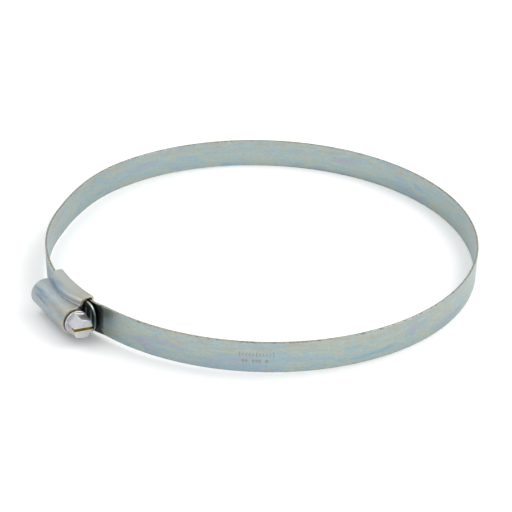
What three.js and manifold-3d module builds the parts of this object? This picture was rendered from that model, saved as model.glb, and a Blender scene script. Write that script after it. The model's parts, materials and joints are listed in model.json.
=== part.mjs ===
// Worm-drive hose clip for hoses of about 150 to 170 mm, in zinc-plated steel: one band, a pressed
// housing that wraps the band's two layers, and a slotted hexagon screw whose thread runs in grooves
// rolled into the band's tail.
//
// Millimetres, +Z up, the clip lying on its side. The screw's axis is along +X with its head at the +X
// end, and the housing is on the -Y side of the loop. Angles around the loop start at the housing, at
// -Y, and grow towards +X. Radial heights are measured outwards from the loop's reference radius, and
// widths from the band's centre line.
import * as THREE from "three";
import { mergeVertices } from "three/addons/utils/BufferGeometryUtils.js";
import Module from "manifold-3d";

const wasm = await Module();
wasm.setup();

// Band
const LOOP_RADIUS = 82.7; // inside of the open loop, also the reference for the heights
const BAND_WIDTH = 12;
const BAND_THICKNESS = 0.8;
const BAND_EDGE = 0.2; // rounding of the band's long edges
const FIXED_LIFT = 0.7; // height of the fixed end's inner face inside the housing
const FIXED_END = [-5.4, 17.5]; // degrees from the fixed end's edge to the first bend of the loop
const JOGGLE = [10.6, 14.6]; // degrees over which the fixed end steps down to the loop
const TAIL_LIFT = 2.1; // height of the tail's inner face in the middle of the housing
const TAIL_CENTRE = [1.7, -7]; // the tail's own centre of curvature, as X and Y from the loop's centre
const TAIL = [318.5, 372.2]; // degrees from the last bend of the loop to the tail's free end
const EASE_FROM = 285; // degrees at which the loop starts to ease into the tail
const TIP_CORNER = 4; // corner radius of the free end
const ARC_COUNT = 12; // lengths of band between the bends of the loop
const BEND_GAP = 0.3; // clearance left at each bend
const OPEN_BEND = 7; // the bend after this arc is the one left open
const OPEN_BEND_GAP = 2.6; // clearance at the open bend

// Screw and its thread
const AXIS_HEIGHT = 6.95; // screw axis above the loop's reference radius
const THREAD_PITCH = 2.8;
const THREAD_CREST = 4.35;
const THREAD_ROOT = 3.3;
const THREAD_ENDS = [-8.2, 8.6];
const CREST_SHARE = 0.24; // share of the pitch that the crest's flat takes, and each flank
const FLANK_SHARE = 0.2;
const ROWS_PER_PITCH = 8; // fineness of the thread
const SCREW_SIDES = 28;
const NECK_RADIUS = 3;
const COLLAR = { radius: 4.4, from: 15.15, to: 16.1, edge: 0.25 };
const HEAD_END = 21.3;
const HEX_ACROSS_FLATS = 7;
const HEX_CHAMFER = 0.45;
const HEX_TURN = 10; // degrees from the top to the nearest corner, measured towards the outside of the clip
const SLOT = { width: 1.1, depth: 2.2, turn: -8 }; // degrees that the slot is turned from lying level

// Grooves that the thread runs in
const GROOVE_DEPTH = 0.5;
const GROOVE_FLOOR = 1.2; // groove width at its floor and at the band's face
const GROOVE_MOUTH = 1.65;
const GROOVE_LENGTH = 8;
const GROOVES = [-22, 6]; // first and last groove, counted in pitches from the housing's middle

// Housing
const SHEET = 0.75;
const HOUSING_ENDS = [-9.45, 14.85];
const DOME_RADIUS = 5.3;
const CREASE = [4.65, 4.4]; // half width and height of the crease between dome and feet, at the ends
const CREASE_RISE = { turn: 28, at: 3.5, reach: 13 }; // degrees about the screw, highest place, fall to nil
const FOOT = { halfWidth: 7.3, inner: -0.6, lip: 3, corner: 1.5, shoulder: 3.35, hem: 0.35, end: 13.1 };
const FOOT_SIDE = 2.2; // height up to which the foot's side is upright
const END_WALL = { hole: 3.3, thickness: 0.75, bottom: 4.7 };

const RADIANS = Math.PI / 180;
// Radius of the tail's inner face about the tail's own centre.
const tailRadius = Math.hypot(TAIL_CENTRE[0], LOOP_RADIUS + TAIL_LIFT + TAIL_CENTRE[1]);
const smooth = (t) => THREE.MathUtils.smoothstep(t, 0, 1);

// Distance from the loop's centre to the tail's inner face.
function tailDistance(degrees) {
  const angle = degrees * RADIANS;
  const [x, y] = TAIL_CENTRE;
  const nearer = x * Math.sin(angle) - y * Math.cos(angle);
  return nearer + Math.sqrt(tailRadius ** 2 - x ** 2 - y ** 2 + nearer ** 2);
}

// Inner radius of the loop: a circle that eases to the height and slope at which the tail starts.
function loopRadius(degrees) {
  const span = TAIL[0] - EASE_FROM;
  const share = Math.max(0, (degrees - EASE_FROM) / span);
  const rise = tailDistance(TAIL[0]) - LOOP_RADIUS;
  const slope = (tailDistance(TAIL[0] + 0.01) - tailDistance(TAIL[0] - 0.01)) / 0.02;
  return LOOP_RADIUS + rise * share ** 2 * (3 - 2 * share) + slope * span * share ** 2 * (share - 1);
}

// The part stands with its origin under the middle of its bounding box.
const CENTRE = new THREE.Vector3(0, (AXIS_HEIGHT + DOME_RADIUS - BAND_THICKNESS) / 2, FOOT.halfWidth);
const onLoop = (radius, degrees, z) =>
  new THREE.Vector3(
    CENTRE.x + radius * Math.sin(degrees * RADIANS),
    CENTRE.y - radius * Math.cos(degrees * RADIANS),
    CENTRE.z + z,
  );

// ---- Geometry helpers

function closed(geometry) {
  geometry.deleteAttribute("normal");
  geometry.deleteAttribute("uv");
  return mergeVertices(geometry, 1e-4);
}

function toSolid(geometry) {
  const merged = closed(geometry);
  return new wasm.Manifold(
    new wasm.Mesh({
      numProp: 3,
      vertProperties: new Float32Array(merged.attributes.position.array),
      triVerts: new Uint32Array(merged.index.array),
    }),
  );
}

function fromSolid(solid) {
  const { numProp, vertProperties, triVerts } = solid.getMesh();
  const positions = new Float32Array((vertProperties.length / numProp) * 3);
  for (let i = 0; i < positions.length / 3; i++)
    positions.set(vertProperties.subarray(i * numProp, i * numProp + 3), i * 3);
  const geometry = new THREE.BufferGeometry();
  geometry.setAttribute("position", new THREE.BufferAttribute(positions, 3));
  geometry.setIndex(new THREE.BufferAttribute(triVerts, 1));
  return geometry;
}

// Moves every vertex of a geometry to place(x, y, z).
function reshape(geometry, place) {
  const position = geometry.attributes.position;
  for (let i = 0; i < position.count; i++) {
    const point = place(position.getX(i), position.getY(i), position.getZ(i));
    position.setXYZ(i, point.x, point.y, point.z);
  }
  return geometry;
}

// Sweeps an outline, drawn as (width, height), from one place along the band to another.
function sweep(outline, from, to, steps, place) {
  const bar = new THREE.ExtrudeGeometry(outline, { depth: to - from, steps, bevelEnabled: false });
  return reshape(bar, (width, height, along) => place(width, height, from + along));
}

// A solid of revolution about the screw's axis, from [along, radius] pairs.
function aboutScrew(profile, segments) {
  const lathe = new THREE.LatheGeometry(
    profile.map(([along, radius]) => new THREE.Vector2(radius, along)),
    segments,
  );
  return lathe.rotateZ(-Math.PI / 2).translate(...screwAxis(0));
}

const screwAxis = (along) => [along, CENTRE.y - LOOP_RADIUS - AXIS_HEIGHT, CENTRE.z];

// ---- Band

const bandOutline = (() => {
  const side = BAND_WIDTH / 2;
  const outline = new THREE.Shape();
  outline.moveTo(side - BAND_EDGE, 0);
  outline.lineTo(side, BAND_EDGE);
  outline.lineTo(side, BAND_THICKNESS - BAND_EDGE);
  outline.lineTo(side - BAND_EDGE, BAND_THICKNESS);
  outline.lineTo(BAND_EDGE - side, BAND_THICKNESS);
  outline.lineTo(-side, BAND_THICKNESS - BAND_EDGE);
  outline.lineTo(-side, BAND_EDGE);
  outline.lineTo(BAND_EDGE - side, 0);
  return outline;
})();

function bandLength(from, to, steps, radiusAt) {
  return sweep(bandOutline, from, to, steps, (width, height, degrees) =>
    onLoop(radiusAt(degrees) + height, degrees, width),
  );
}

// One of the equal lengths of band between two bends. The gap at each bend is measured along the band.
function loopArc(index) {
  const share = (TAIL[0] - FIXED_END[1]) / ARC_COUNT;
  const gapAfter = (bend) => (bend === OPEN_BEND ? OPEN_BEND_GAP : BEND_GAP) / 2 / LOOP_RADIUS / RADIANS;
  const from = FIXED_END[1] + share * (index - 1) + gapAfter(index - 1);
  const to = FIXED_END[1] + share * index - gapAfter(index);
  return bandLength(from, to, 10, loopRadius);
}

// The fixed end lies against the housing's feet and steps down to the loop once it is out of the housing.
function fixedEnd() {
  const half = BEND_GAP / 2 / LOOP_RADIUS / RADIANS;
  const step = (degrees) => smooth((degrees - JOGGLE[0]) / (JOGGLE[1] - JOGGLE[0]));
  const radiusAt = (degrees) => LOOP_RADIUS + FIXED_LIFT * (1 - step(degrees));
  return bandLength(FIXED_END[0], FIXED_END[1] - half, 24, radiusAt);
}

// A slanted trapezoid bar that cuts one groove across the tail's outer face.
function grooveCutter(index) {
  const top = BAND_THICKNESS + 0.4;
  const floor = BAND_THICKNESS - GROOVE_DEPTH;
  const flare = ((GROOVE_MOUTH - GROOVE_FLOOR) / 2) * ((top - floor) / GROOVE_DEPTH);
  const outline = new THREE.Shape();
  outline.moveTo(-GROOVE_FLOOR / 2, floor);
  outline.lineTo(GROOVE_FLOOR / 2, floor);
  outline.lineTo(GROOVE_FLOOR / 2 + flare, top);
  outline.lineTo(-GROOVE_FLOOR / 2 - flare, top);
  const bar = new THREE.ExtrudeGeometry(outline, { depth: GROOVE_LENGTH, bevelEnabled: false });
  const slant = THREAD_PITCH / (2 * Math.PI * THREAD_CREST);
  const middle = fromTailCentre(0) + (index * THREAD_PITCH) / grooveRadius / RADIANS;
  return reshape(bar, (along, height, across) => {
    const z = GROOVE_LENGTH / 2 - across;
    const spot = onTail(tailRadius + height, middle, z);
    const ahead = along + z * slant;
    return spot.add(
      new THREE.Vector3(Math.cos(middle * RADIANS), Math.sin(middle * RADIANS), 0).multiplyScalar(ahead),
    );
  });
}

// Radius at which the grooves are one pitch apart.
const grooveRadius = tailRadius + BAND_THICKNESS - GROOVE_DEPTH / 2;

// A place on the tail, by radius and angle about the tail's own centre.
const onTail = (radius, degrees, z) => onLoop(radius, degrees, z).add(new THREE.Vector3(...TAIL_CENTRE, 0));

// The angle, seen from the tail's own centre, of the tail's inner face at an angle around the loop.
function fromTailCentre(degrees) {
  const distance = tailDistance(degrees);
  const x = distance * Math.sin(degrees * RADIANS) - TAIL_CENTRE[0];
  const y = -distance * Math.cos(degrees * RADIANS) - TAIL_CENTRE[1];
  const turns = Math.round((degrees - Math.atan2(x, -y) / RADIANS) / 360);
  return Math.atan2(x, -y) / RADIANS + turns * 360;
}

function tail() {
  const start = fromTailCentre(TAIL[0]) + BEND_GAP / 2 / tailRadius / RADIANS;
  const end = fromTailCentre(TAIL[1]);
  const corner = TIP_CORNER / tailRadius / RADIANS;
  const widthAt = (degrees) => {
    const into = THREE.MathUtils.clamp((degrees - (end - corner)) / corner, 0, 1);
    return 1 - (TIP_CORNER * (1 - Math.sqrt(1 - into ** 2))) / (BAND_WIDTH / 2);
  };
  const length = (from, to, steps) =>
    toSolid(
      sweep(bandOutline, from, to, steps, (width, height, degrees) =>
        onTail(tailRadius + height, degrees, width * widthAt(degrees)),
      ),
    );
  let strip = length(start, end - corner, 22).add(length(end - corner - 0.05, end, 10));
  for (let groove = GROOVES[0]; groove <= GROOVES[1]; groove++)
    strip = strip.subtract(toSolid(grooveCutter(groove)));
  return fromSolid(strip);
}

// ---- Screw

// Height of the thread above its root, 0 to 1, at a share of the pitch from the crest's middle.
function threadProfile(share) {
  const fromCrest = Math.abs(share - Math.round(share));
  return THREE.MathUtils.clamp((CREST_SHARE / 2 + FLANK_SHARE - fromCrest) / FLANK_SHARE, 0, 1);
}

// Stations along the screw as [along, radius]: tip, thread, neck in the housing's end wall, and collar.
function screwStations() {
  const [threadFrom, threadTo] = THREAD_ENDS;
  const rows = Math.round(((threadTo - threadFrom) / THREAD_PITCH) * ROWS_PER_PITCH);
  const thread = Array.from({ length: rows + 1 }, (_, row) => [
    threadFrom + ((threadTo - threadFrom) * row) / rows,
    THREAD_ROOT,
  ]);
  const neckFrom = HOUSING_ENDS[1] - END_WALL.thickness - BEND_GAP;
  return [
    [HOUSING_ENDS[0] - 0.4, NECK_RADIUS - 0.4],
    [HOUSING_ENDS[0], NECK_RADIUS],
    [threadFrom - 0.3, NECK_RADIUS],
    ...thread,
    [neckFrom - 0.5, THREAD_ROOT],
    [neckFrom, NECK_RADIUS],
    [COLLAR.from, NECK_RADIUS],
    [COLLAR.from, COLLAR.radius - COLLAR.edge],
    [COLLAR.from + COLLAR.edge, COLLAR.radius],
    [COLLAR.to - COLLAR.edge, COLLAR.radius],
    [COLLAR.to, COLLAR.radius - COLLAR.edge],
  ];
}

// The rod of the screw: each ring of vertices takes its station's place and radius, and the thread is
// added to it.
function screwRod() {
  const stations = screwStations();
  const rod = new THREE.CylinderGeometry(1, 1, 1, SCREW_SIDES, stations.length - 1);
  const [, axisY, axisZ] = screwAxis(0);
  return reshape(rod, (x, y, z) => {
    const [along, base] = stations[Math.round((y + 0.5) * (stations.length - 1))];
    const angle = Math.atan2(z, x);
    const runOut = Math.min(along - THREAD_ENDS[0], THREAD_ENDS[1] - along) / (THREAD_PITCH / 4);
    const fade = THREE.MathUtils.clamp(runOut, 0, 1);
    const ridge = fade * threadProfile(along / THREAD_PITCH + angle / (2 * Math.PI));
    const radius = Math.hypot(x, z) < 0.5 ? 0 : base + (THREAD_CREST - THREAD_ROOT) * ridge;
    return new THREE.Vector3(along, axisY + radius * Math.cos(angle), axisZ - radius * Math.sin(angle));
  });
}

function hexHead() {
  const corner = HEX_ACROSS_FLATS / Math.sqrt(3);
  const hex = new THREE.CylinderGeometry(corner, corner, HEAD_END - COLLAR.to + 0.4, 6)
    .rotateY(HEX_TURN * RADIANS)
    .rotateZ(-Math.PI / 2)
    .translate(...screwAxis((HEAD_END + COLLAR.to - 0.4) / 2));
  const rounded = aboutScrew(
    [
      [COLLAR.from, 0],
      [COLLAR.from, corner + 0.02],
      [HEAD_END - HEX_CHAMFER, corner + 0.02],
      [HEAD_END, corner + 0.02 - HEX_CHAMFER * Math.tan(60 * RADIANS)],
      [HEAD_END, 0],
    ],
    48,
  );
  const slot = new THREE.BoxGeometry(SLOT.depth * 2, 2 * corner + 1, SLOT.width);
  slot.rotateX(SLOT.turn * RADIANS).translate(...screwAxis(HEAD_END));
  return toSolid(hex).intersect(toSolid(rounded)).subtract(toSolid(slot));
}

function wormScrew() {
  return fromSolid(toSolid(screwRod()).add(hexHead()));
}

// ---- Housing

// The sheet's outline across the clip: the dome over the screw, a crease on each side, a foot that wraps the
// band's edge, and a lip folded under the fixed end.
function housingOutline() {
  const { halfWidth, inner, lip, corner, shoulder, hem } = FOOT;
  const innerDome = DOME_RADIUS - SHEET;
  const creaseAngle = Math.atan2(CREASE[1] - AXIS_HEIGHT, CREASE[0]);
  const innerAngle = Math.atan2(CREASE[1] + 0.2 - AXIS_HEIGHT, CREASE[0] - SHEET);
  const outline = new THREE.Shape();
  const hemmed = [
    [halfWidth - corner - 1, inner],
    [lip, inner + hem],
    [lip, inner + hem + SHEET],
    [halfWidth - corner - 1, inner + SHEET],
    [halfWidth - corner, inner + SHEET],
  ];
  // Right half, from the dome's top down its outside, then the left half's outside comes back up.
  outline.moveTo(0, AXIS_HEIGHT + DOME_RADIUS);
  outline.absarc(0, AXIS_HEIGHT, DOME_RADIUS, Math.PI / 2, creaseAngle, true);
  outline.quadraticCurveTo(halfWidth - 1.1, shoulder + 1.05, halfWidth - 0.35, shoulder - 0.1);
  outline.quadraticCurveTo(halfWidth, shoulder - 0.6, halfWidth, shoulder - 1.1);
  outline.lineTo(halfWidth, inner + corner);
  outline.absarc(halfWidth - corner, inner + corner, corner, 0, -Math.PI / 2, true);
  hemmed.forEach(([width, height]) => outline.lineTo(width, height));
  const bend = corner - SHEET;
  outline.absarc(halfWidth - corner, inner + corner, bend, -Math.PI / 2, 0, false);
  outline.lineTo(halfWidth - SHEET, shoulder - 1.3);
  outline.quadraticCurveTo(halfWidth - SHEET, shoulder - 0.3, halfWidth - 2, shoulder + 0.05);
  outline.lineTo(CREASE[0] - 0.3, CREASE[1] - 0.62);
  outline.lineTo(innerDome * Math.cos(innerAngle), AXIS_HEIGHT + innerDome * Math.sin(innerAngle));
  outline.absarc(0, AXIS_HEIGHT, innerDome, innerAngle, Math.PI / 2, false);
  return outline;
}

// Both halves of the outline as one closed loop.
function wholeHousingOutline() {
  const half = housingOutline().getPoints(4);
  const turn = half.findIndex((point, i) => i > 0 && point.x < 1e-6 && i > half.length / 2);
  const right = half.slice(0, turn + 1);
  const top = right[0];
  const bottom = right[right.length - 1];
  const left = right
    .slice(1, -1)
    .reverse()
    .map((point) => new THREE.Vector2(-point.x, point.y));
  return new THREE.Shape([top, ...right.slice(1, -1), bottom, ...left]);
}

// Between its ends the crease is drawn up the dome's side and takes the shoulder with it.
function drawnUp(width, height, along) {
  const off = (along - CREASE_RISE.at) / CREASE_RISE.reach;
  const turn = CREASE_RISE.turn * RADIANS * Math.max(0, 1 - off ** 2);
  const aboutAxis = (radius, angle) =>
    new THREE.Vector2(radius * Math.sin(angle), AXIS_HEIGHT + radius * Math.cos(angle));
  const crease = Math.atan2(CREASE[0], CREASE[1] - AXIS_HEIGHT);
  const lift = aboutAxis(DOME_RADIUS, crease - turn).sub(aboutAxis(DOME_RADIUS, crease));
  const share = smooth((height - FOOT_SIDE) / (CREASE[1] - FOOT_SIDE));
  const shoulder = new THREE.Vector2(width + Math.sign(width) * lift.x * share, height + lift.y * share);
  const fromAxis = Math.hypot(width, height - AXIS_HEIGHT);
  const dome = aboutAxis(fromAxis, Math.atan2(width, height - AXIS_HEIGHT) * (1 - turn / crease));
  return shoulder.lerp(dome, smooth((height - CREASE[1] + 0.6) / 0.9));
}

function housing() {
  const [from, to] = HOUSING_ENDS;
  // Feet and crease follow the loop and end short of the dome; the dome above them stays straight.
  const place = (width, height, station) => {
    const inDome = smooth((height - CREASE[1]) / 0.8);
    const along = station * (station > 0 ? THREE.MathUtils.lerp(FOOT.end, to, inDome) / to : 1);
    const { x, y } = drawnUp(width, height, along);
    const bent = onLoop(LOOP_RADIUS + y, along / LOOP_RADIUS / RADIANS, x);
    const straight = new THREE.Vector3(along, CENTRE.y - LOOP_RADIUS - y, CENTRE.z + x);
    return bent.lerp(straight, inDome);
  };
  const shell = toSolid(sweep(wholeHousingOutline(), from, to, 14, place));
  const [, axisY, axisZ] = screwAxis(0);
  const aboveBand = toSolid(
    new THREE.BoxGeometry(60, 20, 20).translate(0, CENTRE.y - LOOP_RADIUS - END_WALL.bottom - 10, axisZ),
  );
  const disc = new THREE.Shape();
  disc.absarc(0, 0, DOME_RADIUS - SHEET / 2, 0, 2 * Math.PI);
  const hole = new THREE.Path();
  hole.absarc(0, 0, END_WALL.hole, 0, 2 * Math.PI, true);
  disc.holes.push(hole);
  const wall = (start) => {
    const plate = new THREE.ExtrudeGeometry(disc, {
      depth: END_WALL.thickness,
      bevelEnabled: false,
      curveSegments: 28,
    });
    plate.rotateY(Math.PI / 2).translate(start, axisY, axisZ);
    return toSolid(plate).intersect(aboveBand);
  };
  return fromSolid(shell.add(wall(from)).add(wall(to - END_WALL.thickness)));
}

// ---- Assembly

const ZINC = { color: 0xb2bcc0, metalness: 0.9, roughness: 0.38 };
const zincBand = new THREE.MeshStandardMaterial(ZINC);
const zincHousing = new THREE.MeshStandardMaterial({ ...ZINC, color: 0xa9b4c2, roughness: 0.34 });
const zincScrew = new THREE.MeshStandardMaterial({ ...ZINC, color: 0xb9b8bd, roughness: 0.3 });

const clip = new THREE.Group();
function addPiece(name, geometry, material) {
  const piece = new THREE.Mesh(closed(geometry), material);
  piece.geometry.computeVertexNormals();
  piece.name = name;
  clip.add(piece);
}

addPiece("housing", housing(), zincHousing);
addPiece("worm_screw", wormScrew(), zincScrew);
addPiece("band_fixed_end", fixedEnd(), zincBand);
for (let index = 1; index <= ARC_COUNT; index++)
  addPiece(`band_arc_${String(index).padStart(2, "0")}`, loopArc(index), zincBand);
addPiece("band_tail", tail(), zincBand);

export default clip;
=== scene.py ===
"""Looks of a worm-drive hose clip: a zinc-plated band, a pressed housing and a slotted screw.

Lengths are in millimetres until a mesh is made. Angles around the loop are in degrees, start at the
housing and grow towards the screw's head. A place on the band is given by its angle, its width from
the band's centre line and its height above the band's inner face. In the housing, heights are above
the loop's reference radius.
"""

import json
import math

import bmesh
import bpy
import numpy as np
from mathutils import Matrix, Vector


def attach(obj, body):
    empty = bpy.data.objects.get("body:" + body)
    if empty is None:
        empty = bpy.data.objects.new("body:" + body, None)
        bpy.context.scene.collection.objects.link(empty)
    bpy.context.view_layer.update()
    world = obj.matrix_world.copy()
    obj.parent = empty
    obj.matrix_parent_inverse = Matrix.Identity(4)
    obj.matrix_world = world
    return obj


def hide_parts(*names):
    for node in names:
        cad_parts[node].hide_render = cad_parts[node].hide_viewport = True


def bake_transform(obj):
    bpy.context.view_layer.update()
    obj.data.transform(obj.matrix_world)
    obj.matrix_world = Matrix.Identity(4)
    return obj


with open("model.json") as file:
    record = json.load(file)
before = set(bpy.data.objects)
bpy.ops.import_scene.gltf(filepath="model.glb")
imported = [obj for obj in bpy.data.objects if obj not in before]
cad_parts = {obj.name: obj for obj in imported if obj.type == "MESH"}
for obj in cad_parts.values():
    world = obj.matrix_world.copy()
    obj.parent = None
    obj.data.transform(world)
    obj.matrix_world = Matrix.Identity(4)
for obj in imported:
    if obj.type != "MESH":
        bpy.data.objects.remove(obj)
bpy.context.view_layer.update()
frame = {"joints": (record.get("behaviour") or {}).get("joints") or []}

MM = 0.001
JOINTS = {joint["name"]: joint for joint in frame["joints"]}

# Band, as in the CAD model
LOOP_RADIUS = 82.7
BAND_WIDTH = 12
BAND_THICKNESS = 0.8
BAND_ROUNDING = 0.24
FIXED_LIFT = 0.7
FIXED_START = -5.4
JOGGLE = (10.6, 14.6)
TAIL_LIFT = 2.1
TAIL_CENTRE = (1.7, -7)  # from the loop's centre, in the loop's plane
TAIL_START = 318.5
TAIL_END = 372.2
EASE_FROM = 285
TIP_CORNER = 4
ARC_COUNT = 12
FIRST_BEND = 17.5
OPEN_BEND = 7
GROOVE_DEPTH = 0.5
GROOVE_WIDTH = 1.6
GROOVE_LENGTH = 8
GROOVES = (-22, 6)  # numbers of the first and the last groove

# Band, beyond the CAD model
TAIL_JOIN = TAIL_START + 1  # where the tail's strip takes over from the last arc's
GROOVE_END_EASE = 0.7
GROOVE_SIDE_EASE = 0.45
GROOVE_SIDE_REACH = 0.22
TIP_SHADE_LENGTH = 5  # length of the painted shade and dark reflection on the tail's outer face, back from its tip
TIP_SHADOW_REACH = (6, 2.3)  # reach of the painted shadow and dark reflection on the band under it, behind and ahead of the tail's tip
TIP_SHADOW_WAVES = ((0.35, 2.1, 0), (0.2, 5.3, 1))  # waves in that painted shadow's edge: size, rate, start
OUTER_FACE_MARGIN = 0.01
SLOPE_STEP = 0.01

# Stamped marks on the band
MARKED_ARCS = (1, 2)
MARKS_FROM = math.radians(50.5) * LOOP_RADIUS
MARK_PITCH = 1.15
MARK_DEPTH = 0.09
TICK_COUNT = 11
TICK_ROW = 1.1
TICK_SIDE = (0.256, 0.16)  # half width, edge
TICK_END_EDGE = 0.15
LONG_TICK = 1.1  # half length
SHORT_TICK = 0.65
LONG_TICK_EACH = 5
DOT_COUNT = 9
DOT_ROW = -1.5
DOT_SIZE = (0.55, 0.2)  # radius, edge
DOT_SQUEEZE = 0.7
DOT_GROUP = 4  # the last of each group is left out

# How finely the band is cut, along and across
FIXED_STEPS = 60
ARC_STEPS = 28
HALF_ARC_STEPS = 14
MARKED_STEPS = 240
LAST_STEPS = 24
TAIL_STEPS = 560
TIP_STEPS = 30
PLAIN_DIVISIONS = 8
MARKED_DIVISIONS = 90
TAIL_DIVISIONS = 44
INNER_POINTS = 7
CORNER_STEPS = 4
FLAT_INSET = 0.12

# Housing
SHEET = 0.75
HOUSING_ENDS = (-9.45, 14.85)
FOOT_END = 13.1
CREASE = (4.65, 4.4)  # half width and height
CREASE_RISE = (28, 3.5, 13)  # degrees about the screw, highest place, fall to nil
CREASE_ACROSS = 10.55  # from the dome's top, along the sheet
FOOT_SIDE = 2.2
DOME_BLEND = (0.6, 0.9)  # from this far below the crease, over this height
STRAIGHT_BLEND = 0.8  # above the crease
DOME_RADIUS = 5.3
DOME_EDGE = -22  # degrees from level
DOME_STEPS = 60
AXIS_HEIGHT = 6.95
SKIRT = [  # outer corners below the dome: half width, height, rounding
    (4.72, 4.32, 0.3),
    (6.62, 3.95, 1.5),
    (7.3, 2.4, 1.2),
    (7.3, -0.6, 1.5),
    (4.7, -0.6, 1.5),
    (3, -0.25, 0),
]
SHEET_STEP = 0.14
STATION_COUNT = 62
SHELL_BEVEL = (0.16, 50, 3)  # width, least angle in degrees, segments
WALL_HOLE = 3.3
WALL_BOTTOM = 4.7
WALL_INSET = 0.2
WALL_OVERLAP = 0.06
WALL_ROUNDING = 0.12
WALL_SIDES = 96

# Darkening on the housing, as lines along it: place across the sheet, half width, edge. The line in
# the crease is painted shade.
DOME_LINE = (2.64, 0.225, 0.15)
FAINT_DOME_LINE = (2.1, 0.168, 0.12)
CREASE_PAINTED_SHADE = (CREASE_ACROSS, 0.3, 0.2)
DOME_LINE_FROM = -7.6
DOME_LINE_TO = 4.6

# Screw
THREAD_PITCH = 2.8
THREAD_CREST = 4.35
THREAD_ROOT = 3.3
THREAD_ENDS = (-8.2, 8.6)
THREAD_FLAT = 0.12  # half the crest's width, as a share of the pitch
THREAD_FLANK = 0.2
ROOT_END = HOUSING_ENDS[1] - 1.4
NECK_RADIUS = 3
NECK_FACE = 2.45
NECK_OUT = 0.4  # beyond the housing's end, and the chamfer on it
COLLAR = (15.15, 16.1, 4.4)  # from, to, radius
COLLAR_ROUNDING = 0.25
HEAD_END = 21.3
HEAD_CHAMFER = 62  # degrees from the screw's axis
HEX_ACROSS_FLATS = 7
HEX_TURN = 10  # degrees
HEX_ROUNDING = 0.25
HEX_SHARPNESS = 24  # of the rounding's start, the larger the sharper
HEX_FOOT = 0.12
HEX_RINGS = (0.05, 0.97, 12)  # first share of the hexagon's length, last share, count
CHAMFER_RINGS = (0.3, 0.6, 0.9)  # shares of the chamfer's length
FACE_RADIUS = 3.3
PINHOLE = 0.02  # radius of the small face in the middle of each end
SLOT = (1.1, 2.2, -8)  # width, depth, turn in degrees
SCREW_SIDES = 144
ROD_STEP = 0.11
SCREW_BEVEL = (0.07, 38)  # width, least angle in degrees

# Film colours, each ramp from its lowest stop up
BAND_TINTS = [
    (0.3, (0.23, 0.37, 0.45)),
    (0.4, (0.31, 0.43, 0.47)),
    (0.5, (0.4, 0.44, 0.38)),
    (0.58, (0.29, 0.42, 0.47)),
    (0.7, (0.37, 0.35, 0.43)),
]
HOUSING_TINTS = [
    (0.3, (0.25, 0.33, 0.44)),
    (0.42, (0.34, 0.42, 0.46)),
    (0.52, (0.42, 0.44, 0.42)),
    (0.62, (0.34, 0.36, 0.44)),
    (0.74, (0.42, 0.39, 0.33)),
]
HOUSING_PATCHES = [
    (0.32, (0.19, 0.27, 0.36)),
    (0.44, (0.28, 0.38, 0.44)),
    (0.52, (0.4, 0.42, 0.41)),
    (0.6, (0.29, 0.38, 0.44)),
    (0.7, (0.36, 0.34, 0.43)),
]
SCREW_TINTS = [
    (0.3, (0.5, 0.48, 0.57)),
    (0.48, (0.6, 0.59, 0.63)),
    (0.6, (0.57, 0.58, 0.6)),
    (0.74, (0.52, 0.47, 0.36)),
]
STREAK = (0.56, 0.58, 0.54, 1)
BLOTCH = (0.44, 0.39, 0.29, 1)
SPECK = (0.12, 0.11, 0.08, 1)
WARM_FILM = (0.4, 0.355, 0.28, 1)
MOTTLE = (0.25, 0.31, 0.33, 1)
RIM = (0.38, 0.35, 0.28, 1)
BARE_EDGE = (0.1, 0.085, 0.055, 1)
STAIN = (0.27, 0.22, 0.14, 1)
# Painted shade and dark reflection on the band and the tail by the tail's tip
BAND_PAINTED_SHADE = (0.015, 0.02, 0.02, 1)
CREASE_SHADE = (0.22, 0.3, 0.38, 1)
# Painted reflection on the housing's up-facing feet
PAINTED_FEET_SHEEN = (0.55, 0.55, 0.49, 1)
TAN_FILM = (0.44, 0.4, 0.31, 1)
RAW_END = (0.6, 0.56, 0.4, 1)
# Dark lines along the dome, and painted shade in the crease
HOUSING_DARK_LINES_AND_SHADE = (0.07, 0.09, 0.13, 1)
SLOT_FILM = (0.62, 0.54, 0.24, 1)
FLOOR_TINTS = ((0.93, 0.93, 0.93, 1), (0.96, 0.96, 0.955, 1))

# Camera, about the middle of the loop: azimuth and elevation in degrees, turns in radians
VIEW_AZIMUTH = 55.15
VIEW_ELEVATION = 28.27
VIEW_DISTANCE = 535.6
VIEW_LENS = 95.99
VIEW_YAW = -0.0045
VIEW_PITCH = -0.0112
VIEW_ROLL = 0.0281

# Floor
FLOOR_HALF = 6000
FLOOR_GAP = 0.02

TAIL_RADIUS = math.hypot(TAIL_CENTRE[0], LOOP_RADIUS + TAIL_LIFT + TAIL_CENTRE[1])
TAIL_POINT = np.array(JOINTS["tail_travel"]["pos_m"]) / MM
TAIL_OFFSET = np.array([*TAIL_CENTRE, 0])
CENTRE = TAIL_POINT - TAIL_OFFSET
SCREW_AXIS = np.array(JOINTS["screw_turn"]["pos_m"]) / MM


# ---- Shared by the shapes


def smoothstep(t):
    t = np.clip(t, 0, 1)
    return t * t * (3 - 2 * t)


def line(place, middle, half, edge):
    """1 along the middle of a line, falling to 0 at half its width over the given edge."""
    return np.clip((half - np.abs(place - middle)) / edge, 0, 1)


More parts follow.
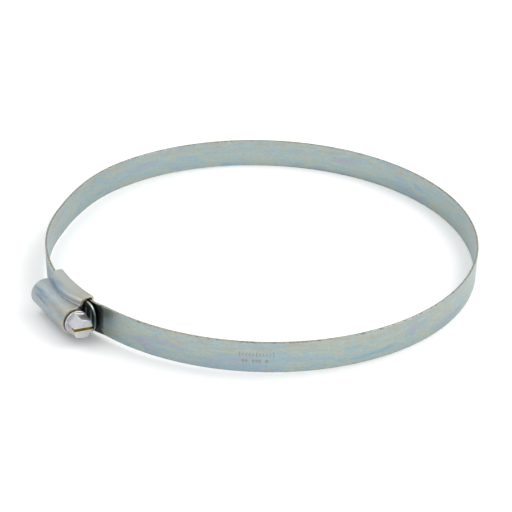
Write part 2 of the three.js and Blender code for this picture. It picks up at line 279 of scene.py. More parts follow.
def make_object(name, points, faces, flat=None, extra=None):
    """A mesh object from points in millimetres.

    flat holds each point's place on the unrolled sheet, in millimetres, and extra holds further
    values by name, one for each point.
    """
    mesh = bpy.data.meshes.new(name)
    mesh.from_pydata([tuple(p) for p in np.asarray(points, float) * MM], [], faces)
    mesh.validate()
    if flat is not None:
        attribute = mesh.attributes.new("flat", "FLOAT_VECTOR", "POINT")
        attribute.data.foreach_set("vector", np.asarray(flat, np.float32).ravel())
    for key, values in (extra or {}).items():
        attribute = mesh.attributes.new(key, "FLOAT", "POINT")
        attribute.data.foreach_set("value", np.asarray(values, np.float32).ravel())
    shade_smooth(mesh, True)
    piece = bpy.data.objects.new(name, mesh)
    bpy.context.scene.collection.objects.link(piece)
    face_outwards(piece)
    return piece


def shade_smooth(mesh, smooth):
    mesh.polygons.foreach_set("use_smooth", [smooth] * len(mesh.polygons))


def face_outwards(piece):
    made = bmesh.new()
    made.from_mesh(piece.data)
    bmesh.ops.recalc_face_normals(made, faces=made.faces)
    made.to_mesh(piece.data)
    made.free()


def sharp_ends(piece):
    """Keeps a tube's two end faces flat, so that its shading runs straight on to its ends."""
    made = bmesh.new()
    made.from_mesh(piece.data)
    for face in made.faces:
        if len(face.verts) > 4:
            face.smooth = False
            for edge in face.edges:
                edge.smooth = False
    made.to_mesh(piece.data)
    made.free()
    return piece


def ring_faces(ring, next_ring, around):
    """Faces between two rings of points. Each ring is given by the index of its first point."""
    faces = []
    for i in range(around):
        j = (i + 1) % around
        faces.append((ring + i, ring + j, next_ring + j, next_ring + i))
    return faces


def tube_faces(rings, around):
    """Faces of a closed tube of rings, with an end face on each end ring."""
    faces = []
    for ring in range(rings - 1):
        faces += ring_faces(ring * around, (ring + 1) * around, around)
    faces.append(tuple(range(around)))
    faces.append(tuple(range((rings - 1) * around, rings * around)))
    return faces


def apply_modifiers(piece):
    graph = bpy.context.evaluated_depsgraph_get()
    mesh = bpy.data.meshes.new_from_object(piece.evaluated_get(graph))
    piece.modifiers.clear()
    piece.data = mesh


def soften(piece, width, degrees, segments=2):
    """Rounds the piece's sharp edges."""
    bevel = piece.modifiers.new("edges", "BEVEL")
    bevel.width = width * MM
    bevel.segments = segments
    bevel.limit_method = "ANGLE"
    bevel.angle_limit = math.radians(degrees)
    bevel.use_clamp_overlap = True
    bevel.harden_normals = True
    apply_modifiers(piece)
    shade_smooth(piece.data, True)


def make_box(name, size):
    x, y, z = (s / 2 for s in size)
    points = [(i, j, k) for i in (-x, x) for j in (-y, y) for k in (-z, z)]
    faces = [(0, 1, 3, 2), (4, 6, 7, 5), (0, 4, 5, 1), (2, 3, 7, 6), (0, 2, 6, 4), (1, 5, 7, 3)]
    return make_object(name, points, faces)


# ---- Band


def on_loop(radius, degrees, width):
    """Points about the loop's centre."""
    angle = np.radians(degrees)
    return np.stack(
        np.broadcast_arrays(
            CENTRE[0] + radius * np.sin(angle),
            CENTRE[1] - radius * np.cos(angle),
            CENTRE[2] + width,
        ),
        -1,
    )


def tail_distance(degrees):
    """Distance from the loop's centre to the tail's inner face."""
    angle = np.radians(degrees)
    x, y = TAIL_CENTRE
    nearer = x * np.sin(angle) - y * np.cos(angle)
    return nearer + np.sqrt(TAIL_RADIUS**2 - x * x - y * y + nearer**2)


def from_tail_centre(degrees):
    """The angle about the tail's own centre of its inner face at an angle around the loop."""
    angle = math.radians(degrees)
    distance = float(tail_distance(degrees))
    x = distance * math.sin(angle) - TAIL_CENTRE[0]
    y = distance * math.cos(angle) + TAIL_CENTRE[1]
    seen = math.degrees(math.atan2(x, y))
    return seen + 360 * round((degrees - seen) / 360)


def inner_radius(degrees):
    """Radius of the band's inner face about the loop's centre, from fixed end to tail's tip."""
    degrees = np.asarray(degrees, float)
    stepped_down = smoothstep((degrees - JOGGLE[0]) / (JOGGLE[1] - JOGGLE[0]))
    span = TAIL_START - EASE_FROM
    share = np.clip((degrees - EASE_FROM) / span, 0, 1)
    rise = tail_distance(TAIL_START) - LOOP_RADIUS
    before, after = tail_distance(TAIL_START - SLOPE_STEP), tail_distance(TAIL_START + SLOPE_STEP)
    slope = (after - before) / (2 * SLOPE_STEP)
    eased = rise * share**2 * (3 - 2 * share) + slope * span * share**2 * (share - 1)
    loop = LOOP_RADIUS + eased + FIXED_LIFT * (1 - stepped_down)
    return np.where(degrees > TAIL_START, tail_distance(degrees), loop)


def band_section(divisions):
    """The section as (width, height), with rounded corners and the outer face in divisions."""
    radius = BAND_ROUNDING
    side, top = BAND_WIDTH / 2 - radius, BAND_THICKNESS - radius
    flat = side - FLAT_INSET
    corners = [(side, radius, -90), (side, top, 0), (-side, top, 90), (-side, radius, 180)]
    points = []
    for index, (width, height, start) in enumerate(corners):
        for step in range(CORNER_STEPS + 1):
            angle = math.radians(start + 90 * step / CORNER_STEPS)
            points.append((width + radius * math.cos(angle), height + radius * math.sin(angle)))
        if index == 1:
            points += [(w, BAND_THICKNESS) for w in np.linspace(flat, -flat, divisions + 1)]
        if index == 3:
            points += [(w, 0) for w in np.linspace(-flat, flat, INNER_POINTS)]
    return np.array(points)


def on_outer_face(height):
    return height > BAND_THICKNESS - OUTER_FACE_MARGIN


def marks(along, width):
    """Depth share of the marks: a row of ticks, each fifth one longer, over a row of ovals."""
    index = np.round((along - MARKS_FROM) / MARK_PITCH)
    off = np.abs(along - MARKS_FROM - index * MARK_PITCH)
    reach = np.where(index % LONG_TICK_EACH == 0, LONG_TICK, SHORT_TICK)
    tick = line(off, 0, *TICK_SIDE) * line(width, TICK_ROW, reach, TICK_END_EDGE)
    dot = line(np.hypot(off, (width - DOT_ROW) * DOT_SQUEEZE), 0, *DOT_SIZE)
    ticks_on = (index >= 0) & (index < TICK_COUNT)
    dots_on = (index >= 1) & (index < DOT_COUNT) & (index % DOT_GROUP != DOT_GROUP - 1)
    return np.maximum(np.where(ticks_on, tick, 0), np.where(dots_on, dot, 0))


def tip_shadow(along, width):
    """Share of the painted shadow and dark reflection where the tail's tip slides over the band."""
    tip = math.radians(TAIL_END - 360) * LOOP_RADIUS
    behind, ahead = TIP_SHADOW_REACH
    ragged = sum(size * np.sin(width * rate + start) for size, rate, start in TIP_SHADOW_WAVES)
    return smoothstep((tip + ahead + ragged - along) / 0.5) * smoothstep((along - tip + behind) / 2)


def grooved(around, width):
    """Depth share of the tail's slanted grooves. The screw's thread runs in them."""
    groove_radius = TAIL_RADIUS + BAND_THICKNESS - GROOVE_DEPTH / 2
    along = np.radians(around - 360 - from_tail_centre(0)) * groove_radius
    slant = THREAD_PITCH / (2 * math.pi * THREAD_CREST)
    phase = (along - width * slant) / THREAD_PITCH
    index = np.round(phase)
    off = np.abs(phase - index) * THREAD_PITCH
    sides = smoothstep((GROOVE_WIDTH / 2 + GROOVE_SIDE_REACH - off) / GROOVE_SIDE_EASE)
    ends = smoothstep((GROOVE_LENGTH / 2 - np.abs(width)) / GROOVE_END_EASE)
    return np.where((index >= GROOVES[0]) & (index <= GROOVES[1]), sides * ends, 0)


def spread(degrees, section):
    """Angle, width and height of each point of a strip with this section at these angles."""
    width, height = np.tile(section, (len(degrees), 1)).T
    return np.repeat(degrees, len(section)), width, height


def band_piece(name, start, end, steps, divisions=PLAIN_DIVISIONS, marked=False):
    """A stretch of band between two angles."""
    section = band_section(divisions)
    around, width, height = spread(np.linspace(start, end, steps + 1), section)
    along = np.radians(around) * LOOP_RADIUS
    outer = on_outer_face(height)
    stamped = np.where(outer, marks(along, width), 0) if marked else np.zeros(len(around))
    lowered = height - MARK_DEPTH * stamped
    points = on_loop(inner_radius(around) + lowered, around, width)
    flat = np.stack([along, width, height], -1)
    # The outer face by the tail's tip gets painted shadow and dark reflection
    extra = {"stain": stamped, "dark_lines_and_painted_shade": np.where(outer, tip_shadow(along, width), 0)}
    faces = tube_faces(steps + 1, len(section))
    return sharp_ends(make_object(name, points, faces, flat, extra))


def tail_piece(name, start):
    """The tail, which bends about its own centre, with its grooves and its rounded tip."""
    section = band_section(TAIL_DIVISIONS)
    first, last = from_tail_centre(start), from_tail_centre(TAIL_END)
    corner = math.degrees(TIP_CORNER / TAIL_RADIUS)
    body = np.linspace(first, last - corner, TAIL_STEPS)
    tip = last - corner + corner * np.sin(np.linspace(0, math.pi / 2, TIP_STEPS))[1:]
    degrees = np.concatenate([body, tip])
    around, width, height = spread(degrees, section)
    into = np.clip((around - (last - corner)) / corner, 0, 1)
    width = width * (1 - TIP_CORNER * (1 - np.sqrt(1 - into**2)) / (BAND_WIDTH / 2))
    outer = on_outer_face(height)
    depth = np.where(outer, grooved(around, width), 0)
    lowered = height - GROOVE_DEPTH * depth
    points = on_loop(TAIL_RADIUS + lowered, around, width) + TAIL_OFFSET
    flat = np.stack([np.radians(around) * LOOP_RADIUS, width, height], -1)
    # The tail's outer face darkens towards its tip: painted shade and dark reflection
    tip_shade = smoothstep((around - last) * math.radians(TAIL_RADIUS) / TIP_SHADE_LENGTH + 1)
    extra = {"stain": depth * 0.5, "dark_lines_and_painted_shade": np.where(outer, tip_shade, 0)}
    faces = tube_faces(len(degrees), len(section))
    return sharp_ends(make_object(name, points, faces, flat, extra))


def place_of(degrees):
    """A point on the band's inner face, in metres."""
    return Vector(on_loop(inner_radius(degrees), degrees, 0) * MM)


def middle(index):
    """The angle midway between bend index and the bend before it."""
    share = (TAIL_START - FIRST_BEND) / ARC_COUNT
    return FIRST_BEND + share * (index - 0.5)


def arc(index):
    return f"arc_{index:02d}"


def node(index):
    return f"band_arc_{index:02d}"


def make_band():
    """Strips that reach across each joint, apart from the open bend, where two ends meet."""
    fixed = band_piece("band_fixed_end_strip", FIXED_START, middle(1), FIXED_STEPS)
    place_of(JOGGLE[1] + 1)
    place_of(middle(1))
    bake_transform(fixed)
    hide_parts("band_fixed_end")
    pieces = [fixed]

    for index in range(1, ARC_COUNT):
        start, end = middle(index), middle(index + 1)
        if index == OPEN_BEND:
            split = (start + end) / 2
            halves = [
                (node(index), start, split, index),
                (node(index) + "_end", split, end, index + 1),
            ]
            for name, half_start, half_end, rides in halves:
                piece = band_piece(f"{name}_strip", half_start, half_end, HALF_ARC_STEPS)
                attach(piece, arc(rides))
                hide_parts(node(rides))
                pieces.append(piece)
            continue
        marked = index in MARKED_ARCS
        steps = MARKED_STEPS if marked else ARC_STEPS
        divisions = MARKED_DIVISIONS if marked else PLAIN_DIVISIONS
        piece = band_piece(f"{node(index)}_strip", start, end, steps, divisions, marked)
        place_of(start)
        place_of(end)
        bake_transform(piece)
        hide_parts(node(index))
        pieces.append(piece)

    last = band_piece(f"{node(ARC_COUNT)}_strip", middle(ARC_COUNT), TAIL_JOIN, LAST_STEPS)
    place_of(middle(ARC_COUNT))
    place_of(TAIL_JOIN)
    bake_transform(last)
    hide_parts(node(ARC_COUNT))
    tail = tail_piece("band_tail_strip", TAIL_JOIN)
    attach(tail, "tail")
    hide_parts("band_tail")
    return pieces + [last, tail]


# ---- Screw


def around_screw(along, radius, angle):
    """Points about the screw's axis. Angle 0 is away from the loop, and a quarter turn on is up."""
    return np.stack(
        np.broadcast_arrays(
            SCREW_AXIS[0] + along,
            SCREW_AXIS[1] - radius * np.cos(angle),
            SCREW_AXIS[2] + radius * np.sin(angle),
        ),
        -1,
    )


def hex_radius(angle):
    """Distance from the axis to the hexagon's side, with its corners rounded."""
    flat = math.radians(60)
    corner = math.radians(90 - HEX_TURN)
    off = (angle - corner) / flat
    off = (off - np.floor(off) - 0.5) * flat
    side = HEX_ACROSS_FLATS / 2 / np.cos(off)
    corner_radius = HEX_ACROSS_FLATS / math.sqrt(3)
    limit = corner_radius - HEX_ROUNDING * (2 / math.sqrt(3) - 1)
    return -np.log(np.exp(-side * HEX_SHARPNESS) + np.exp(-limit * HEX_SHARPNESS)) / HEX_SHARPNESS


def rod_radius(along, angle):
    """Radius of the screw's rod at a station and angle, with the thread on it."""
    turn = along / THREAD_PITCH - angle / (2 * math.pi) + 0.5
    off = np.abs(turn - np.round(turn))
    ridge = smoothstep((THREAD_FLAT + THREAD_FLANK - off) / THREAD_FLANK)
    runout = np.minimum(along - THREAD_ENDS[0], THREAD_ENDS[1] - along) / (THREAD_PITCH / 4)
    ridge = ridge * np.clip(runout, 0, 1)
    inside = (along > THREAD_ENDS[0]) & (along < ROOT_END)
    base = np.where(inside, THREAD_ROOT, NECK_RADIUS)
    return base + (THREAD_CREST - THREAD_ROOT) * ridge


def screw_rings(angle):
    """Rings of points from the screw's far end, over thread and collar, to the head's face."""
    rings = []

    def ring(along, radius):
        rings.append(around_screw(along, radius, angle))

    for radius in (PINHOLE, NECK_FACE, NECK_RADIUS - NECK_OUT):
        ring(HOUSING_ENDS[0] - NECK_OUT, radius)
    ring(HOUSING_ENDS[0], NECK_RADIUS)
    collar_from, collar_to, collar_radius = COLLAR
    for along in np.arange(HOUSING_ENDS[0] + 0.2, collar_from - 0.05, ROD_STEP):
        ring(along, rod_radius(along, angle))
    ring(collar_from, NECK_RADIUS)

    flat_radius = collar_radius - COLLAR_ROUNDING
    quarter = [math.radians(15 * step) for step in range(7)]
    for a in quarter:
        along = collar_from + COLLAR_ROUNDING * (1 - math.cos(a))
        ring(along, flat_radius + COLLAR_ROUNDING * math.sin(a))
    for a in quarter:
        along = collar_to - COLLAR_ROUNDING * (1 - math.sin(a))
        ring(along, flat_radius + COLLAR_ROUNDING * math.cos(a))

    hexagon = hex_radius(angle)
    foot = collar_to + HEX_FOOT
    ring(collar_to + 0.01, np.minimum(hexagon + HEX_FOOT, collar_radius - 0.3))
    ring(foot, hexagon)
    slope = math.tan(math.radians(HEAD_CHAMFER))
    chamfer = HEAD_END - np.maximum(hexagon - FACE_RADIUS, 0.02) / slope
    for share in np.linspace(*HEX_RINGS):
        ring(foot + (chamfer - foot) * share, hexagon)
    ring(chamfer, hexagon - 0.01)
    for share in CHAMFER_RINGS:
        radius = hexagon + (FACE_RADIUS - hexagon) * share
        ring(chamfer + (HEAD_END - chamfer) * share, radius)
    ring(HEAD_END - 0.005, FACE_RADIUS - 0.02)
    ring(HEAD_END, FACE_RADIUS - 0.1)
    ring(HEAD_END, PINHOLE)
    return rings


def make_screw():
    angle = np.arange(SCREW_SIDES) * 2 * math.pi / SCREW_SIDES
    rings = screw_rings(angle)
    faces = tube_faces(len(rings), SCREW_SIDES)
    screw = make_object("worm_screw_turned", np.concatenate(rings), faces)
    width, depth, turn = SLOT
    cutter = make_box("slot_cutter", (depth * 2, 10, width))
    cutter.rotation_euler = (math.radians(turn), 0, 0)
    cutter.location = Vector((SCREW_AXIS + np.array([HEAD_END, 0, 0])) * MM)
    bpy.context.view_layer.update()
    slot = screw.modifiers.new("slot", "BOOLEAN")
    slot.operation = "DIFFERENCE"
    slot.solver = "EXACT"
    slot.object = cutter
    apply_modifiers(screw)
    bpy.data.objects.remove(cutter)
    soften(screw, *SCREW_BEVEL)
    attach(screw, "screw")
    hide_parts("worm_screw")
    return screw


# ---- Housing


def arc_points(centre, radius, start, end, steps):
    angles = np.radians(np.linspace(start, end, steps + 1))
    return [(centre[0] + radius * math.cos(a), centre[1] + radius * math.sin(a)) for a in angles]


def filleted(corners, steps=10):
    """A path through (width, height, radius) corners, each rounded to its radius."""
    points = [np.array(corners[0][:2], float)]
    for before, here, after in zip(corners, corners[1:], corners[2:]):
        a, b, c = (np.array(p[:2], float) for p in (before, here, after))
        u, v = (a - b) / np.linalg.norm(a - b), (c - b) / np.linalg.norm(c - b)
        half = math.acos(float(np.clip(u @ v, -1, 1))) / 2
        reach = here[2] / math.tan(half)
        centre = b + (u + v) / np.linalg.norm(u + v) * here[2] / math.sin(half)
        first, last = b + u * reach - centre, b + v * reach - centre
        side = np.array([-first[1], first[0]])
        turn = math.atan2(side @ last, first @ last)
        for step in range(steps + 1):
            angle = turn * step / steps
            points.append(centre + first * math.cos(angle) + side * math.sin(angle))
    points.append(np.array(corners[-1][:2], float))
    return points


def sheet_path():
    """Half the section's outer face, evenly spaced from the dome's top down to the lip.

    Returns the points and each one's distance along the path.
    """
    dome = arc_points((0, AXIS_HEIGHT), DOME_RADIUS, 90, DOME_EDGE, DOME_STEPS)
    skirt = filleted([(*dome[-1], 0), *SKIRT])
    path = np.array(dome + skirt[1:])
    distance = np.r_[0, np.cumsum(np.linalg.norm(np.diff(path, axis=0), axis=1))]
    even = np.r_[np.arange(0, distance[-1], SHEET_STEP), distance[-1]]
    width = np.interp(even, distance, path[:, 0])
    height = np.interp(even, distance, path[:, 1])
    return np.stack([width, height], -1), even


def drawn_up(width, height, along):
    """Between its ends the crease is drawn up the dome's side and takes the shoulder with it."""
    rise, highest, reach = CREASE_RISE
    turn = math.radians(rise) * np.maximum(0, 1 - ((along - highest) / reach) ** 2)
    crease = math.atan2(CREASE[0], CREASE[1] - AXIS_HEIGHT)
    lift_width = DOME_RADIUS * (np.sin(crease - turn) - math.sin(crease))
    lift_height = DOME_RADIUS * (np.cos(crease - turn) - math.cos(crease))
    share = smoothstep((height - FOOT_SIDE) / (CREASE[1] - FOOT_SIDE))
    shoulder_width = width + np.sign(width) * lift_width * share
    shoulder_height = height + lift_height * share
    radius = np.hypot(width, height - AXIS_HEIGHT)
    angle = np.arctan2(width, height - AXIS_HEIGHT) * (1 - turn / crease)
    in_dome = smoothstep((height - CREASE[1] + DOME_BLEND[0]) / DOME_BLEND[1])
    dome_width, dome_height = radius * np.sin(angle), AXIS_HEIGHT + radius * np.cos(angle)
    return (
        shoulder_width + (dome_width - shoulder_width) * in_dome,
        shoulder_height + (dome_height - shoulder_height) * in_dome,
    )


def in_housing(width, height, station):
    """Points of the section at a station along the housing.

    The feet follow the loop. The dome stays straight and reaches further.
    """
    share = smoothstep((height - CREASE[1]) / STRAIGHT_BLEND)
    end = FOOT_END + (HOUSING_ENDS[1] - FOOT_END) * share
    along = station * np.where(station > 0, end / HOUSING_ENDS[1], 1)
    width, height = drawn_up(width, height, along)
    bent = on_loop(LOOP_RADIUS + height, np.degrees(along / LOOP_RADIUS), width)
    place = (CENTRE[0] + along, CENTRE[1] - LOOP_RADIUS - height, CENTRE[2] + width)
    straight = np.stack(np.broadcast_arrays(*place), -1)
    share = share[..., None]
    return bent * (1 - share) + straight * share


def shell_faces(rows, count):
    """Faces of the bent sheet: its two sides, its two lips and its two ends."""

    def at(side, row, i):
        return (side * rows + row) * count + i

    faces = []
    for row in range(rows - 1):
        for i in range(count - 1):
            for side in (0, 1):
                near = (at(side, row, i), at(side, row, i + 1))
                faces.append((*near, at(side, row + 1, i + 1), at(side, row + 1, i)))
        for i in (0, count - 1):
            faces.append((at(0, row, i), at(0, row + 1, i), at(1, row + 1, i), at(1, row, i)))
    for row in (0, rows - 1):
        for i in range(count - 1):
            faces.append((at(0, row, i), at(0, row, i + 1), at(1, row, i + 1), at(1, row, i)))
    return faces


def dark_lines_and_crease_shade(flat):
    """Share of darkening: a dark straight line along the dome, a faint one beside it, and painted
    shade in the crease.
    """
    along, across = flat[:, 0], flat[:, 1]
    run = smoothstep((along - DOME_LINE_FROM) / 1.5) * smoothstep((DOME_LINE_TO - along) / 2)
    main = line(across, *DOME_LINE)
    beside = 0.4 * line(across, *FAINT_DOME_LINE)
    dome_lines = np.maximum(main, beside) * run * (0.75 + 0.25 * np.sin(along * 2.3))
    # Painted shade along the crease between the dome and the feet
    crease = 0.7 * line(np.abs(across), *CREASE_PAINTED_SHADE)
    return np.maximum(dome_lines, crease * (0.8 + 0.2 * np.sin(along * 1.7 + across)))


def make_shell():
    """The pressed sheet, symmetrical about the band's centre line."""
    half, distance = sheet_path()
    ahead = np.gradient(half, axis=0)
    ahead /= np.linalg.norm(ahead, axis=1)[:, None]
    inward = np.stack([ahead[:, 1], -ahead[:, 0]], -1)
    under = half + inward * SHEET
    mirror = np.array([-1, 1])
    sides = [np.concatenate([(side * mirror)[:0:-1], side]) for side in (half, under)]
    across = np.concatenate([-distance[:0:-1], distance])
    stations = np.linspace(*HOUSING_ENDS, STATION_COUNT)
    count = len(across)
    points, flat = [], []
    for side in sides:
        for station in stations:
            points.append(in_housing(side[:, 0], side[:, 1], station))
            flat.append(np.stack([np.full(count, station), across, side[:, 1]], -1))
    points, flat = np.concatenate(points), np.concatenate(flat)
    faces = shell_faces(STATION_COUNT, count)
    shell = make_object("housing_shell", points, faces, flat, {"dark_lines_and_painted_shade": dark_lines_and_crease_shade(flat)})
    soften(shell, *SHELL_BEVEL)
    return shell


def end_wall(name, start):
    """A wall across the dome's end, with a round hole for the screw's neck."""
    inner, outer = WALL_HOLE, DOME_RADIUS - SHEET + WALL_OVERLAP
    rounding = WALL_ROUNDING
    profile = [
        (rounding, inner),
        (SHEET - rounding, inner),
        (SHEET, inner + rounding),
        (SHEET, outer),
        (0, outer),
        (0, inner + rounding),
    ]
    angle = np.arange(WALL_SIDES) * 2 * math.pi / WALL_SIDES
    points = [around_screw(start + along, radius, angle) for along, radius in profile]
    faces = []
    for ring in range(len(profile)):
        following = (ring + 1) % len(profile)
        faces += ring_faces(ring * WALL_SIDES, following * WALL_SIDES, WALL_SIDES)
    wall = make_object(name, np.concatenate(points), faces)
    cut = bmesh.new()
    cut.from_mesh(wall.data)
    level = Vector((0, CENTRE[1] - LOOP_RADIUS - WALL_BOTTOM, 0)) * MM
    whole = cut.verts[:] + cut.edges[:] + cut.faces[:]
    bmesh.ops.bisect_plane(cut, geom=whole, plane_co=level, plane_no=(0, 1, 0), clear_outer=True)
    bmesh.ops.holes_fill(cut, edges=[e for e in cut.edges if e.is_boundary])
    cut.to_mesh(wall.data)
    cut.free()
    face_outwards(wall)
    shade_smooth(wall.data, False)
    return wall


def make_housing():
    pieces = [
        make_shell(),
        end_wall("housing_back_wall", HOUSING_ENDS[0] + WALL_INSET),
        end_wall("housing_front_wall", HOUSING_ENDS[1] - SHEET - WALL_INSET),
    ]
    for piece in pieces:
        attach(piece, "housing_and_fixed_end")
        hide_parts("housing")
    return pieces


# ---- Materials


class Graph:
    """Adds nodes to a material and links them."""

    def __init__(self, name):
        self.material = bpy.data.materials.new(name)
        self.material.use_nodes = True
        self.tree = self.material.node_tree
        self.shader = self.tree.nodes["Principled BSDF"]

    def node(self, kind, inputs=None, **settings):
        made = self.tree.nodes.new(kind)
        for key, value in settings.items():
            setattr(made, key, value)
        for key, value in (inputs or {}).items():
            self.feed(made.inputs[key], value)
        return made

    def feed(self, socket, value):
        if isinstance(value, bpy.types.NodeSocket):
            self.tree.links.new(value, socket)
        else:
            socket.default_value = value

    def math(self, operation, a, b=0.0):
        return self.node("ShaderNodeMath", {0: a, 1: b}, operation=operation).outputs[0]

    def noise(self, vector, scale, detail, roughness=0.5, distortion=0.0):
        inputs = {
            "Vector": vector,
            "Scale": scale,
            "Detail": detail,
            "Roughness": roughness,
            "Distortion": distortion,
        }
        return self.node("ShaderNodeTexNoise", inputs).outputs["Fac"]

    def stretched(self, vector, scale, location=(0, 0, 0)):
        inputs = {"Vector": vector, "Scale": scale, "Location": location}
        return self.node("ShaderNodeMapping", inputs).outputs[0]

    def patches(self, vector, scale, detail, roughness, distortion=0.0, location=(0, 0, 0)):
        """Noise with its own scale along each axis."""
        place = self.stretched(vector, scale, location)
        return self.noise(place, 1.0, detail, roughness, distortion)

    def attribute(self, name, output):
        settings = {"attribute_name": name, "attribute_type": "GEOMETRY"}
        return self.node("ShaderNodeAttribute", **settings).outputs[output]

    def separated(self, vector):
        return self.node("ShaderNodeSeparateXYZ", {"Vector": vector}).outputs

    def ramp(self, factor, stops):
        made = self.node("ShaderNodeValToRGB", {"Fac": factor})
        elements = made.color_ramp.elements
        while len(elements) < len(stops):
            elements.new(0.5)
        for element, (position, colour) in zip(elements, stops):
            element.position = position
            element.color = (*colour, 1)
        return made.outputs["Color"]

    def step(self, value, low, high):
        """0 below low and 1 above high, with a smooth change between."""
        inputs = {"Value": value, "From Min": low, "From Max": high}
        return self.node("ShaderNodeMapRange", inputs, interpolation_type="SMOOTHSTEP").outputs[0]

    def mix(self, factor, a, b):
        made = self.node("ShaderNodeMix", data_type="RGBA", blend_type="MIX")
        self.feed(made.inputs["Factor"], factor)
        self.feed(made.inputs["A"], a)
        self.feed(made.inputs["B"], b)
        return made.outputs["Result"]

    def tinted(self, colour, mask, strength, tint):
        return self.mix(self.math("MULTIPLY", mask, strength), colour, tint)


def zinc(name, tints, coordinates, roughness, touches):
    """Passivated zinc on steel: an iridescent film in soft patches, rolling streaks and specks."""
    g = Graph(name)
    if coordinates == "flat":
        place = g.attribute("flat", "Vector")
    else:
        metres = g.node("ShaderNodeTexCoord").outputs["Object"]
        place = g.stretched(metres, (1 / MM, 1 / MM, 1 / MM))
    film = g.patches(place, (0.04, 0.16, 0.16), detail=4, roughness=0.6, distortion=0.8)
    colour = g.ramp(film, tints)
    streaks = g.patches(place, (0.12, 3.2, 3.2), detail=4, roughness=0.6)
    colour = g.tinted(colour, g.step(streaks, 0.35, 0.75), 0.2, STREAK)
    blotches = g.patches(place, (0.2, 0.5, 0.5), 5, 0.62, distortion=0.4, location=(7, 3, 1))
    colour = g.tinted(colour, g.step(blotches, 0.5, 0.72), 0.5, BLOTCH)
    colour = touches(g, place, colour)
    specks = g.patches(place, (1.6, 1.6, 1.6), detail=3, roughness=0.7)
    colour = g.tinted(colour, g.step(specks, 0.68, 0.78), 0.5, SPECK)
    g.feed(g.shader.inputs["Base Color"], colour)
    g.shader.inputs["Metallic"].default_value = 1.0
    uneven = g.patches(place, (0.5, 1.4, 1.4), detail=4, roughness=0.6, location=(2, 9, 4))
    low, high = roughness
    spread_out = {"Value": uneven, "From Min": 0.3, "From Max": 0.7, "To Min": low, "To Max": high}
    g.feed(g.shader.inputs["Roughness"], g.node("ShaderNodeMapRange", spread_out).outputs[0])
    grain = g.patches(place, (2.2, 9, 9), detail=3, roughness=0.6)
    bump = g.node("ShaderNodeBump", {"Height": grain, "Strength": 0.12, "Distance": 0.00006})
    g.feed(g.shader.inputs["Normal"], bump.outputs[0])
    return g.material


def band_touches(g, place, colour):
    """A warmer upper half, mottling, worn edges, brown stamping and grooves, and painted shade and
    dark reflection by the tail's tip.
    """
    width = g.separated(place)["Y"]
    off = g.math("ABSOLUTE", width)
    warm = g.patches(place, (0.14, 0.4, 0.4), detail=6, roughness=0.7, location=(5, 5, 5))
    upper = g.math("MULTIPLY", g.step(width, -1.5, 4.5), g.step(warm, 0.44, 0.64))
    colour = g.tinted(colour, upper, 0.6, WARM_FILM)
    mottle = g.patches(place, (0.8, 1.1, 1.1), detail=5, roughness=0.7)
    colour = g.tinted(colour, g.step(mottle, 0.4, 0.62), 0.3, MOTTLE)
    colour = g.tinted(colour, g.step(off, 5.7, 5.93), 0.55, RIM)
    broken = g.patches(place, (0.9, 2.5, 2.5), detail=4, roughness=0.65)
    worn = g.math("MULTIPLY", g.step(off, 5.5, 5.8), g.step(broken, 0.5, 0.62))
    colour = g.tinted(colour, worn, 0.8, BARE_EDGE)
    colour = g.tinted(colour, g.attribute("stain", "Fac"), 0.6, STAIN)
    # Painted shade and dark reflection by the tail's tip
    return g.tinted(colour, g.attribute("dark_lines_and_painted_shade", "Fac"), 0.85, BAND_PAINTED_SHADE)


def housing_touches(g, place, colour):
    """Bluish patches, paler feet as a painted reflection of the bright surroundings, tan towards
    the screw's head, a raw end, dark lines along the dome and painted shade in the crease.
    """
    spot = g.separated(g.attribute("flat", "Vector"))
    along, across = spot["X"], g.math("ABSOLUTE", spot["Y"])
    patches = g.patches(place, (0.09, 0.3, 0.3), 3, 0.6, distortion=0.5, location=(3, 1, 2))
    colour = g.mix(0.6, colour, g.ramp(patches, HOUSING_PATCHES))
    below_crease = g.step(across, CREASE_ACROSS, CREASE_ACROSS + 0.4)
    shade = g.math("SUBTRACT", below_crease, g.step(across, 11.8, 13.6))
    colour = g.tinted(colour, shade, 0.6, CREASE_SHADE)
    # Paler, warmer feet: a painted reflection of the bright surroundings that the up-facing feet
    # catch
    colour = g.tinted(colour, g.step(across, 12.2, 14.2), 0.75, PAINTED_FEET_SHEEN)
    uneven = g.patches(place, (0.15, 0.35, 0.35), detail=3, roughness=0.6)
    tan = g.math("MULTIPLY", g.step(along, 1.5, 13.5), g.step(uneven, 0.25, 0.6))
    colour = g.tinted(colour, tan, 0.6, TAN_FILM)
    end = g.step(along, HOUSING_ENDS[1] - 0.2, HOUSING_ENDS[1] - 0.05)
    colour = g.tinted(colour, end, 0.75, RAW_END)
    # Dark lines along the dome, and painted shade in the crease
    return g.tinted(colour, g.attribute("dark_lines_and_painted_shade", "Fac"), 0.8, HOUSING_DARK_LINES_AND_SHADE)


def screw_touches(g, place, colour):
    """Yellowish film left in the slot."""
    width, depth, turn = SLOT
    lean = math.radians(turn)
    across = Vector((0, -math.sin(lean), math.cos(lean)))
    reached = g.node("ShaderNodeVectorMath", {0: place, 1: across}, operation="DOT_PRODUCT")
    from_axis = g.math("SUBTRACT", reached.outputs["Value"], across.dot(Vector(SCREW_AXIS)))
    outside = g.step(g.math("ABSOLUTE", from_axis), width / 2 + 0.08, width / 2 + 0.16)
    within = g.math("SUBTRACT", 1.0, outside)
    floor = HEAD_END - depth
    deep = g.step(g.separated(place)["X"], floor - 0.2, floor - 0.1)
    return g.tinted(colour, g.math("MULTIPLY", within, deep), 0.9, SLOT_FILM)


# ---- Scene


def direction(azimuth, elevation):
    """A unit vector. Azimuth 0 is the housing's side, and 90 is where the screw's head points."""
    a, e = math.radians(azimuth), math.radians(elevation)
    return Vector((math.sin(a) * math.cos(e), -math.cos(a) * math.cos(e), math.sin(e)))


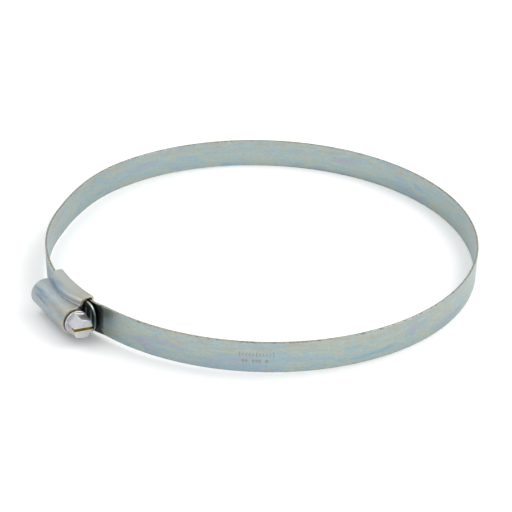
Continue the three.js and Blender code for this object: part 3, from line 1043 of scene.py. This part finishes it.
def make_camera():
    back = direction(VIEW_AZIMUTH, VIEW_ELEVATION)
    azimuth = math.radians(VIEW_AZIMUTH)
    right = Vector((math.cos(azimuth), math.sin(azimuth), 0))
    forward = -back
    up = right.cross(forward)
    forward = forward * math.cos(VIEW_YAW) + right * math.sin(VIEW_YAW)
    right = forward.cross(up).normalized()
    forward = forward * math.cos(VIEW_PITCH) + up * math.sin(VIEW_PITCH)
    up = right.cross(forward)
    turned_right = right * math.cos(VIEW_ROLL) + up * math.sin(VIEW_ROLL)
    turned_up = up * math.cos(VIEW_ROLL) - right * math.sin(VIEW_ROLL)
    data = bpy.data.cameras.new("camera")
    data.lens = VIEW_LENS
    data.sensor_width = 36
    data.clip_start = 0.01
    data.clip_end = 20
    camera = bpy.data.objects.new("camera", data)
    bpy.context.scene.collection.objects.link(camera)
    turn = Matrix((turned_right, turned_up, -forward)).transposed().to_4x4()
    place = Vector(CENTRE * MM) + back * VIEW_DISTANCE * MM
    camera.matrix_world = Matrix.Translation(place) @ turn
    bpy.context.scene.camera = camera


def add_light(name, azimuth, elevation, distance, side, power):
    """A square lamp that faces the origin. Its distance and side are in metres."""
    data = bpy.data.lights.new(name, "AREA")
    data.shape = "RECTANGLE"
    data.size = side
    data.size_y = side
    data.energy = power
    lamp = bpy.data.objects.new(name, data)
    bpy.context.scene.collection.objects.link(lamp)
    away = direction(azimuth, elevation)
    lamp.location = away * distance
    lamp.rotation_mode = "QUATERNION"
    lamp.rotation_quaternion = away.to_track_quat("Z", "Y")


def make_light():
    scene = bpy.context.scene
    world = bpy.data.worlds.new("studio")
    world.use_nodes = True
    background = world.node_tree.nodes["Background"]
    background.inputs["Color"].default_value = (0.98, 0.99, 1, 1)
    background.inputs["Strength"].default_value = 0.92
    scene.world = world
    scene.view_settings.view_transform = "Standard"
    add_light("key", azimuth=142, elevation=44, distance=0.7, side=0.6, power=2.6)
    add_light("fill", azimuth=-40, elevation=60, distance=0.9, side=0.8, power=1.8)


def make_stage():
    # The clip rests on the housing's foot and on the band's far edge, so the floor slopes slightly.
    low_edge = CENTRE[2] - BAND_WIDTH / 2
    far = CENTRE[1] + LOOP_RADIUS
    near = CENTRE[1] - LOOP_RADIUS
    slope = low_edge / (far - near)
    corners = [(x * FLOOR_HALF, y * FLOOR_HALF) for x, y in ((-1, -1), (1, -1), (1, 1), (-1, 1))]
    points = [(x, y, (y - near) * slope - FLOOR_GAP) for x, y in corners]
    floor = make_object("floor", points, [(0, 1, 2, 3)])
    g = Graph("floor_white")
    mottle = g.noise(g.node("ShaderNodeTexCoord").outputs["Object"], scale=14, detail=3)
    colour = g.mix(g.step(mottle, 0.2, 0.8), *FLOOR_TINTS)
    g.feed(g.shader.inputs["Base Color"], colour)
    g.shader.inputs["Roughness"].default_value = 0.9
    g.shader.inputs["Specular IOR Level"].default_value = 0.1
    floor.data.materials.append(g.material)


def put_on(pieces, material):
    for piece in pieces:
        piece.data.materials.clear()
        piece.data.materials.append(material)


make_camera()
make_stage()
make_light()
band = make_band()
screw = make_screw()
housing = make_housing()
band_zinc = zinc("zinc_band", BAND_TINTS, "flat", (0.32, 0.45), band_touches)
screw_zinc = zinc("zinc_screw", SCREW_TINTS, "object", (0.26, 0.4), screw_touches)
housing_zinc = zinc("zinc_housing", HOUSING_TINTS, "object", (0.38, 0.5), housing_touches)
put_on(band, band_zinc)
put_on([screw], screw_zinc)
put_on(housing, housing_zinc)
